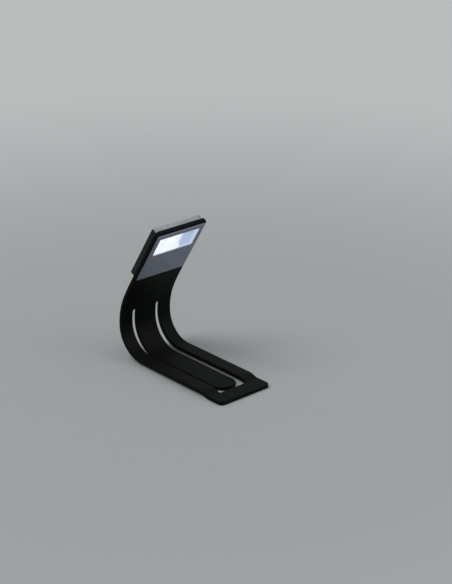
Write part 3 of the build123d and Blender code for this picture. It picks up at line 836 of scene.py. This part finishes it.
lower_length = NECK_RADIUS * 2 * math.asin((lower_bend - knee_top).length / (2 * NECK_RADIUS))
middle_length = NECK_RADIUS * neck_turn
lower_seam = lower_length - BLEND_REACH - SEAM_GAP
middle_seam = (lower_length + middle_length) / 2
upper_seam = (middle_length + head_start) / 2
sections = []
for section_name, low, high in (
    ("clip_rubber", None, lower_seam),
    ("lower_neck_rubber", lower_seam, middle_seam),
    ("middle_neck_rubber", middle_seam, upper_seam),
    ("head_rubber", upper_seam, None),
):
    section = copy_of(sheet, section_name)
    keep_between(section, low, high)
    sections.append(section)
bpy.data.objects.remove(sheet)
print("seams at", [round(seam / MM, 1) for seam in (lower_seam, middle_seam, upper_seam)], "mm")

# %% [markdown]
# Bending moves each point by itself. Its place along the sheet says how far to walk
# along the centre line, and its depth says how far to step off it. Nothing is
# stretched on the centre line, just as in a real strip.


# %% Bend the sections
def along(path, distance, heading, side):
    """Point and inward direction at a distance along lengths of line and arc."""
    place = Vector((knee_top.y, knee_top.z))
    for length, turn in path:
        step = min(distance, length)
        if turn:
            radius = length / (side * turn)
            ahead = heading + side * turn * step / length
            place += radius * Vector((
                math.sin(ahead) - math.sin(heading),
                math.cos(heading) - math.cos(ahead),
            ))
            heading = ahead
        else:
            place += step * Vector((math.cos(heading), math.sin(heading)))
        distance -= step
        if distance <= 0:
            break
    return place, side * Vector((-math.sin(heading), math.cos(heading)))


def bend_strip(piece):
    """Moves each point of the flat sheet to its place on the bent strip."""
    for point in piece.data.vertices:
        x, length, depth = point.co
        if length >= 0:
            place, inward = along(neck_path, length, QUARTER_TURN, 1)
        elif abs(x) < SLIT_MIDDLE:
            place, inward = along(tongue_path, -length, -QUARTER_TURN, -1)
        else:
            place, inward = along(rail_path, -length, -QUARTER_TURN, -1)
        place = place + inward * depth
        point.co = (x, place.x, place.y)
    piece.data.update()


for section in sections + [tongue_skin]:
    bend_strip(section)
    smooth_shade(section)
print("bent", len(sections) + 1, "pieces")

# %% [markdown]
# Real rubber bends over a stretch and not at a line. So the table gives each section
# of the neck, and the tongue at its root, one body before its hinge, the next body
# after it and the stretch between. Only the clip's section, with one body, is parented
# to it; the others are baked in place.

# %% Give each section its finish, and the clip's section its body
ROOT_REACH = 5.0 * MM


def across(bend, direction):
    """Start and end of the soft stretch on both sides of a bend line."""
    return tuple(bend - direction * BLEND_REACH), tuple(bend + direction * BLEND_REACH)


lower_way = (middle_bend - knee_top).normalized()
middle_way = (upper_bend - lower_bend).normalized()
root_end = knee_top - Vector((0, 0, ROOT_REACH))
bodies_of_strip = {
    "strip_clip": "clip",
    "strip_link_lower": ("clip", "lower_link", *across(lower_bend, lower_way)),
    "strip_link_upper": ("lower_link", "upper_link", *across(middle_bend, middle_way)),
    "strip_head": ("upper_link", "head", *across(upper_bend, head_up)),
    "strip_tongue": ("clip", "tongue", tuple(knee_top), tuple(root_end)),
}
for section, (node_name, body) in zip(sections + [tongue_skin], bodies_of_strip.items()):
    finish_piece(section, body, "strip_rubber", rubber, node_name)

# %% [markdown]
# The studio starts with a wide pale floor. Round the light it carries a painted shade,
# a little darker than far off, and the distance from the middle mixes the two tones.
# A curved backdrop would do too, but a floor this wide has no fold to hide.

# %% Floor
FLOOR_SIZE = 20000 * MM
NEAR_REACH = 120 * MM
FAR_REACH = 550 * MM

floor_paint, floor_shader = new_material("pale_floor_with_painted_shade", Roughness=0.9)
floor_place = add_node(floor_paint, "ShaderNodeTexCoord").outputs["Object"]
floor_distance = add_node(
    floor_paint, "ShaderNodeVectorMath", {"operation": "LENGTH"}, in_0=floor_place,
)
# Painted shade: close to the light the floor is painted darker, and it fades to its pale tone far off.
painted_shade_reach = add_node(
    floor_paint, "ShaderNodeMapRange", {"interpolation_type": "SMOOTHSTEP"},
    Value=floor_distance.outputs["Value"], From_Min=NEAR_REACH, From_Max=FAR_REACH,
)
floor_tone_with_painted_shade = add_node(
    floor_paint, "ShaderNodeMix", {"data_type": "RGBA"},
    Factor=painted_shade_reach.outputs["Result"], in_6=colour("9a9c9c"), in_7=colour("b8bab9"),
)
floor_paint.node_tree.links.new(floor_tone_with_painted_shade.outputs[MIX_RESULT], floor_shader.inputs["Base Color"])
bpy.ops.object.select_all(action="DESELECT")
bpy.ops.mesh.primitive_plane_add(size=FLOOR_SIZE, location=(0, 0, 0))
floor = bpy.context.object
floor.name = "floor"
floor.data.materials.append(floor_paint)
print("floor", round(FLOOR_SIZE, 1), "m wide")

# %% [markdown]
# A broad soft light comes from above on the left, a weaker one from the right, and
# the world is plain grey. The lamps are suns, which keep the floor even up to the
# horizon, where a lamp close by would leave it dark. Their strengths are set so that
# a colour renders about as it is written.


# %% Lamps and world
def soft_sun(name, place, strength, spread):
    """Even light from the direction of a place, as wide in the sky as the spread in degrees."""
    data = bpy.data.lights.new(name, "SUN")
    data.energy = strength
    data.angle = math.radians(spread)
    lamp = bpy.data.objects.new(name, data)
    bpy.context.collection.objects.link(lamp)
    lamp.rotation_euler = (-Vector(place)).to_track_quat("-Z", "Y").to_euler()
    print(name, "strength", strength)


soft_sun("key_light", place=(-0.5, 0.3, 0.9), strength=1.4, spread=35)
soft_sun("fill_light", place=(0.7, -0.5, 0.6), strength=0.8, spread=60)
world = bpy.data.worlds.new("studio")
bpy.context.scene.world = world
world.use_nodes = True
background = world.node_tree.nodes["Background"]
background.inputs["Color"].default_value = colour("c4c8ca")
background.inputs["Strength"].default_value = 0.85
bpy.context.scene.view_settings.view_transform = "Standard"
